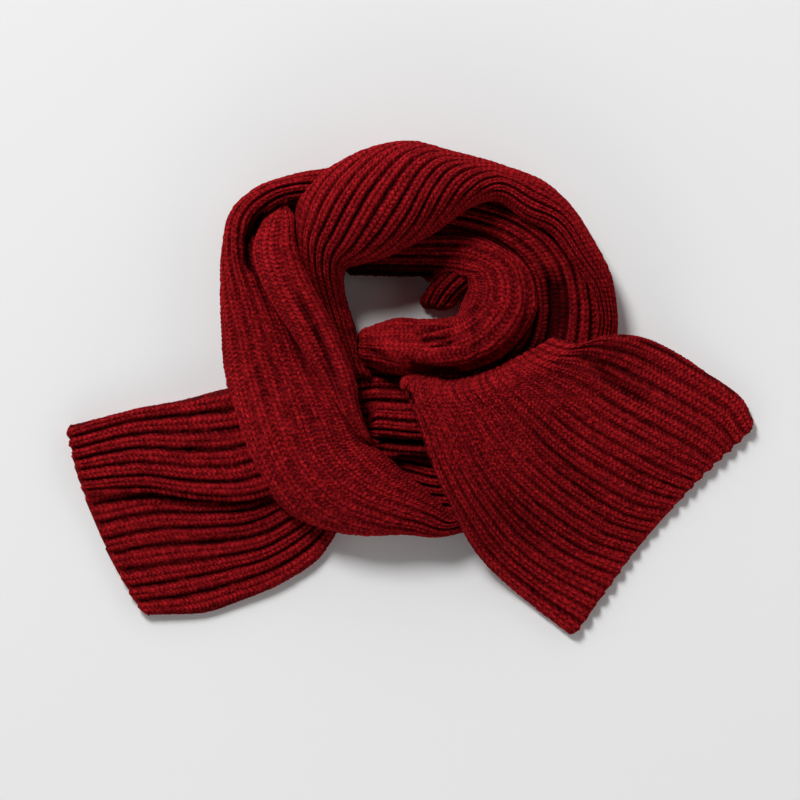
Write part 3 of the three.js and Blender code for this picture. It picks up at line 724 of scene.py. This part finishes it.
def right_end(name, table, material, creases, patches):
    """The right end: one layer that falls from the crown of the knot to the table."""
    rows, length = even_rows(table, lambda r: r[:, 3:5])
    count = OPEN_RIBS * PER_RIB + 1
    rib = np.concatenate([[0.0], np.linspace(0, OPEN_RIBS, count), [OPEN_RIBS],
                          under_ribs(OPEN_RIBS)])
    relief = np.concatenate([[SIDE_RELIEF], np.full(count, OPEN_RELIEF), [SIDE_RELIEF],
                             np.zeros(2 * UNDER)])
    rings = []
    for row in rows:
        a, m, b = row[0:2], row[3:5], row[6:8]
        tuck, drop = row[9:]
        edge = SELVEDGE / end_width(a, m, b)
        over = edge + (1 - 2 * edge) * np.linspace(0, 1, count)
        under = np.linspace(1 - edge, edge, 2 * UNDER)
        top, level = (bowed(row[2], row[5], row[8], p) - drop * step(p, tuck - 0.02, tuck + 0.02)
                      for p in (over, under))
        bottom = np.maximum(level - CLOTH, LYING)
        p = np.concatenate([[0.0], over, [1.0], under])
        z = np.concatenate([[(top[0] + bottom[-1]) / 2], top, [(top[-1] + bottom[0]) / 2], bottom])
        rings.append(np.column_stack([bowed(a, m, b, p[:, None]), z]))
    parts = (np.array(part) for part in (rings, [rib] * len(rows), [relief] * len(rows)))
    end_piece(name, *hemmed(*parts, -1, count + 2), count + 2, length, "laid", material, creases,
              patches)


def hemmed(rings, ribbing, relief, end, top):
    """Rounds a cast-off edge: its ridges stand out a little further than its grooves, and its
    corners are rounded."""
    ring, inner = rings[end], rings[4 if end == 0 else -5]
    out = (ring - inner) * [1, 1, 0]
    out /= np.maximum(np.linalg.norm(out, axis=-1, keepdims=True), 1e-9)
    middle = (ring[:, 2].min() + ring[:, 2]) / 2
    ridge = np.abs(ribbing[end] - np.round(ribbing[end])) * 2
    chord = (ring[top - 1] - ring[0])[:2]
    place = (ring[:, :2] - ring[0, :2]) @ chord / (chord @ chord)
    near_corner = np.clip((np.abs(2 * place - 1) - 0.9) / 0.1, 0, 1)
    reach = HEM_REACH * (0.55 + 0.45 * ridge) * np.sqrt(1 - 0.98 * near_corner ** 2)
    extra = []
    for turn in np.linspace(0, 0.5 * np.pi, HEM_STEPS + 1)[1:]:
        moved = ring + out * (reach * np.sin(turn))[:, None]
        moved[:, 2] = middle + (ring[:, 2] - middle) * np.cos(turn) ** 0.8
        extra.append(moved)
    extra = np.array(extra if end else extra[::-1])
    faded = np.linspace(0.9, 0.2, HEM_STEPS) if end else np.linspace(0.2, 0.9, HEM_STEPS)
    return (joined(end, extra, rings),
            joined(end, np.repeat(ribbing[[end]], HEM_STEPS, axis=0), ribbing),
            joined(end, relief[end][None, :] * faded[:, None], relief))


def dress(piece, node):
    """Attaches a piece to the root body and hides its CAD node."""
    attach(piece, "root")
    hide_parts(node)


# Materials

def linear(code):
    """A colour from its sRGB hex code."""
    parts = [int(code[i:i + 2], 16) / 255 for i in (1, 3, 5)]
    parts = [c / 12.92 if c <= 0.04045 else ((c + 0.055) / 1.055) ** 2.4 for c in parts]
    return (*parts, 1.0)


def add(tree, kind, settings=None, **links):
    """A node with its settings, and its links by socket name or by number, i0 first."""
    node = tree.nodes.new(kind)
    for key, value in (settings or {}).items():
        if hasattr(node, key):
            setattr(node, key, value)
        else:
            node.inputs[int(key) if key.isdigit() else key].default_value = value
    for key, value in links.items():
        numbered = key[0] == "i" and key[1:].isdigit()
        socket = node.inputs[int(key[1:]) if numbered else key.replace("_", " ")]
        if isinstance(value, bpy.types.NodeSocket):
            tree.links.new(value, socket)
        else:
            socket.default_value = value
    return node


SHADED, LIT = "#420405", "#c22027"     # yarn in painted shade between its stitch legs and in painted light on them, flecked by its fibres
DYE_LOT = "#76080f"              # duller patches in the yarn
PAINTED_SHADE_COLOUR = "#240103"        # painted shade, where no light gets in
HALO = "#c03038"                 # the fuzz, seen edge on
FLECKS = 560.0                   # a metre: fibres are too fine to show, so flecks are 1.8 mm wide
PATCHES = 260.0                  # a metre: patches of the yarn's own unevenness, 4 mm wide
WALE_MIDDLE = 0.29               # where a wale lies between a groove and a ridge, in ribs


def rib_knit_wool():
    """Brushed lambswool yarn in a two-by-two rib: matt, with a soft halo where it is seen
    edge on, chains of stitches on the ribs in painted light and shade, and painted near-black shade
    in the grooves between them."""
    material = bpy.data.materials.new("brushed_lambswool_rib_knit")
    material.use_nodes = True
    tree = material.node_tree
    tree.nodes.clear()
    out = add(tree, "ShaderNodeOutputMaterial")
    wool = add(tree, "ShaderNodeBsdfPrincipled", {
        "Roughness": 0.9, "Specular IOR Level": 0.02,
        "Sheen Weight": 0.04, "Sheen Roughness": 0.4, "Sheen Tint": linear(HALO),
    })
    tree.links.new(wool.outputs["BSDF"], out.inputs["Surface"])

    # legs of the stitches: they slant away from the middle of their wale
    knit_at = add(tree, "ShaderNodeUVMap", {"uv_map": "knit"})
    parts = add(tree, "ShaderNodeSeparateXYZ", i0=knit_at.outputs[0])
    rib, row = parts.outputs[0], parts.outputs[1]
    aside = add(tree, "ShaderNodeMath", {"operation": "PINGPONG"}, i0=rib, i1=0.5).outputs[0]
    wale = add(tree, "ShaderNodeMath", {"operation": "SUBTRACT"}, i0=aside, i1=WALE_MIDDLE)
    wale = add(tree, "ShaderNodeMath", {"operation": "ABSOLUTE"}, i0=wale.outputs[0]).outputs[0]
    slant = add(tree, "ShaderNodeMath", {"operation": "MULTIPLY_ADD"}, i0=wale, i1=2.1, i2=row)
    slant = slant.outputs[0]
    leg = add(tree, "ShaderNodeMath", {"operation": "PINGPONG"}, i0=slant, i1=0.5).outputs[0]
    leg = add(tree, "ShaderNodeMath", {"operation": "MULTIPLY"}, i0=leg, i1=2.0).outputs[0]
    leg = add(tree, "ShaderNodeMath", {"operation": "POWER"}, i0=leg, i1=0.6).outputs[0]

    # painted light on the legs of the stitches and painted shade between them, broken into
    # flecks of fibre, and each stitch a little lighter or darker than the next
    place = add(tree, "ShaderNodeTexCoord").outputs["Object"]
    fibre = add(tree, "ShaderNodeTexNoise", {"Scale": FLECKS, "Detail": 3.0, "Roughness": 0.85},
                Vector=place).outputs["Fac"]
    fleck = add(tree, "ShaderNodeMapRange", {"1": 0.42, "2": 0.58, "3": 0.0, "4": 1.0},
                Value=fibre).outputs[0]
    light = add(tree, "ShaderNodeMath", {"operation": "MULTIPLY"}, i0=fleck, i1=leg).outputs[0]
    quarter = add(tree, "ShaderNodeMath", {"operation": "MULTIPLY"}, i0=rib, i1=4.0).outputs[0]
    quarter = add(tree, "ShaderNodeMath", {"operation": "FLOOR"}, i0=quarter).outputs[0]
    loop = add(tree, "ShaderNodeMath", {"operation": "FLOOR"}, i0=slant).outputs[0]
    cell = add(tree, "ShaderNodeCombineXYZ", i0=quarter, i1=loop).outputs[0]
    own = add(tree, "ShaderNodeTexWhiteNoise", {"noise_dimensions": "2D"},
              Vector=cell).outputs["Value"]
    light = add(tree, "ShaderNodeMath", {"operation": "MULTIPLY_ADD", "use_clamp": True},
                i0=own, i1=0.36, i2=light).outputs[0]
    tone = add(tree, "ShaderNodeMix", {"data_type": "RGBA"}, i0=light)
    tone.inputs[6].default_value = linear(SHADED)
    tone.inputs[7].default_value = linear(LIT)

    # duller patches in the yarn
    cloud = add(tree, "ShaderNodeTexNoise", {"Scale": PATCHES, "Detail": 2.0, "Roughness": 0.6},
                Vector=place).outputs["Fac"]
    mottle = add(tree, "ShaderNodeMapRange", {"1": 0.35, "2": 0.65, "3": 0.0, "4": 1.0},
                 Value=cloud).outputs[0]
    soft = add(tree, "ShaderNodeMath", {"operation": "MULTIPLY"}, i0=mottle, i1=0.35).outputs[0]
    varied = add(tree, "ShaderNodeMix", {"data_type": "RGBA"}, i0=soft)
    tree.links.new(tone.outputs[2], varied.inputs[6])
    varied.inputs[7].default_value = linear(DYE_LOT)

    # painted shade in grooves, creases and gaps between stitches
    painted_shade = add(tree, "ShaderNodeAttribute", {"attribute_name": "painted_shade"}).outputs["Fac"]
    dark = add(tree, "ShaderNodeMath", {"operation": "MULTIPLY", "use_clamp": True},
               i0=painted_shade, i1=0.95).outputs[0]
    shaded = add(tree, "ShaderNodeMix", {"data_type": "RGBA"}, i0=dark)
    tree.links.new(varied.outputs[2], shaded.inputs[6])
    shaded.inputs[7].default_value = linear(PAINTED_SHADE_COLOUR)
    tree.links.new(shaded.outputs[2], wool.inputs["Base Color"])

    # lumps of fibre and yarn too small for the mesh
    lumps = add(tree, "ShaderNodeMath", {"operation": "MULTIPLY_ADD"},
                i0=leg, i1=0.6, i2=fibre).outputs[0]
    bump = add(tree, "ShaderNodeBump", {"Strength": 0.85, "Distance": 0.0013}, Height=lumps)
    tree.links.new(bump.outputs[0], wool.inputs["Normal"])
    return material


def plain(name, colour, roughness):
    material = bpy.data.materials.new(name)
    material.use_nodes = True
    shader = material.node_tree.nodes["Principled BSDF"]
    shader.inputs["Base Color"].default_value = linear(colour)
    shader.inputs["Roughness"].default_value = roughness
    return material


WOOL = rib_knit_wool()

# The stretches, lowest first: each lies on those before it

left_end("left_tail", LEFT_TAIL, WOOL, LEFT_TAIL_CREASES)
strand("lower_turn", LOWER_TURN, 10, WOOL, creases=LOWER_TURN_CREASES)
strand("inner_stub", INNER_STUB, 8, WOOL)
strand("left_band", LEFT_BAND, 11, WOOL, creases=LEFT_BAND_CREASES)
strand("inner_band", INNER_BAND, 9, WOOL, creases=INNER_BAND_CREASES)
strand("top_band", TOP_BAND, 22, WOOL, turned=True)
strand("left_strand", LEFT_STRAND, 6, WOOL, creases=LEFT_STRAND_CREASES)
right_end("right_tail", RIGHT_TAIL, WOOL, RIGHT_TAIL_CREASES, RIGHT_TAIL_CALM)


# Floor, light and camera

bpy.ops.mesh.primitive_plane_add(size=24, location=(0, 0, -0.0006))
floor = bpy.context.object
floor.name = "pale_floor"
floor.data.materials.append(plain("matt_white_sweep", "#e6e6e6", 0.9))

# A soft lamp, high behind the left shoulder of the loop
key = bpy.data.lights.new("soft_key", "AREA")
key.shape = "DISK"
key.size = 2.6
key.energy = 755
lamp = bpy.data.objects.new("soft_key", key)
lamp.location = (-3.15, 5.94, 5.5)
lamp.rotation_euler = (-lamp.location).to_track_quat("-Z", "Y").to_euler()
bpy.context.scene.collection.objects.link(lamp)

# Pale walls round the table: they light the sides of things, and little from right above.
WALLS = {"1": 0.4, "2": 0.6, "3": 1.5, "4": 0.02}    # heights and brightness, low and high
world = bpy.data.worlds.new("pale_room")
bpy.context.scene.world = world
world.use_nodes = True
sky = world.node_tree
towards = add(sky, "ShaderNodeTexCoord").outputs["Generated"]
height = add(sky, "ShaderNodeSeparateXYZ", i0=towards).outputs[2]
wall = add(sky, "ShaderNodeMapRange", WALLS, Value=height).outputs[0]
sky.links.new(wall, sky.nodes["Background"].inputs["Strength"])
sky.nodes["Background"].inputs["Color"].default_value = (1, 1, 1, 1)

VIEW = 0.656                     # metres across the picture, 800 px
HIGH = 5.0                       # the lens looks straight down from here
CROWN = 0.025                    # height at which the picture is that wide
lens = bpy.data.cameras.new("long_lens")
lens.sensor_width = 36
lens.lens = lens.sensor_width * (HIGH - CROWN) / VIEW
lens.clip_end = 60
camera = bpy.data.objects.new("camera_above", lens)
camera.location = (-0.0102, -0.01, HIGH)
bpy.context.scene.collection.objects.link(camera)
bpy.context.scene.camera = camera
bpy.context.scene.view_settings.view_transform = "Standard"
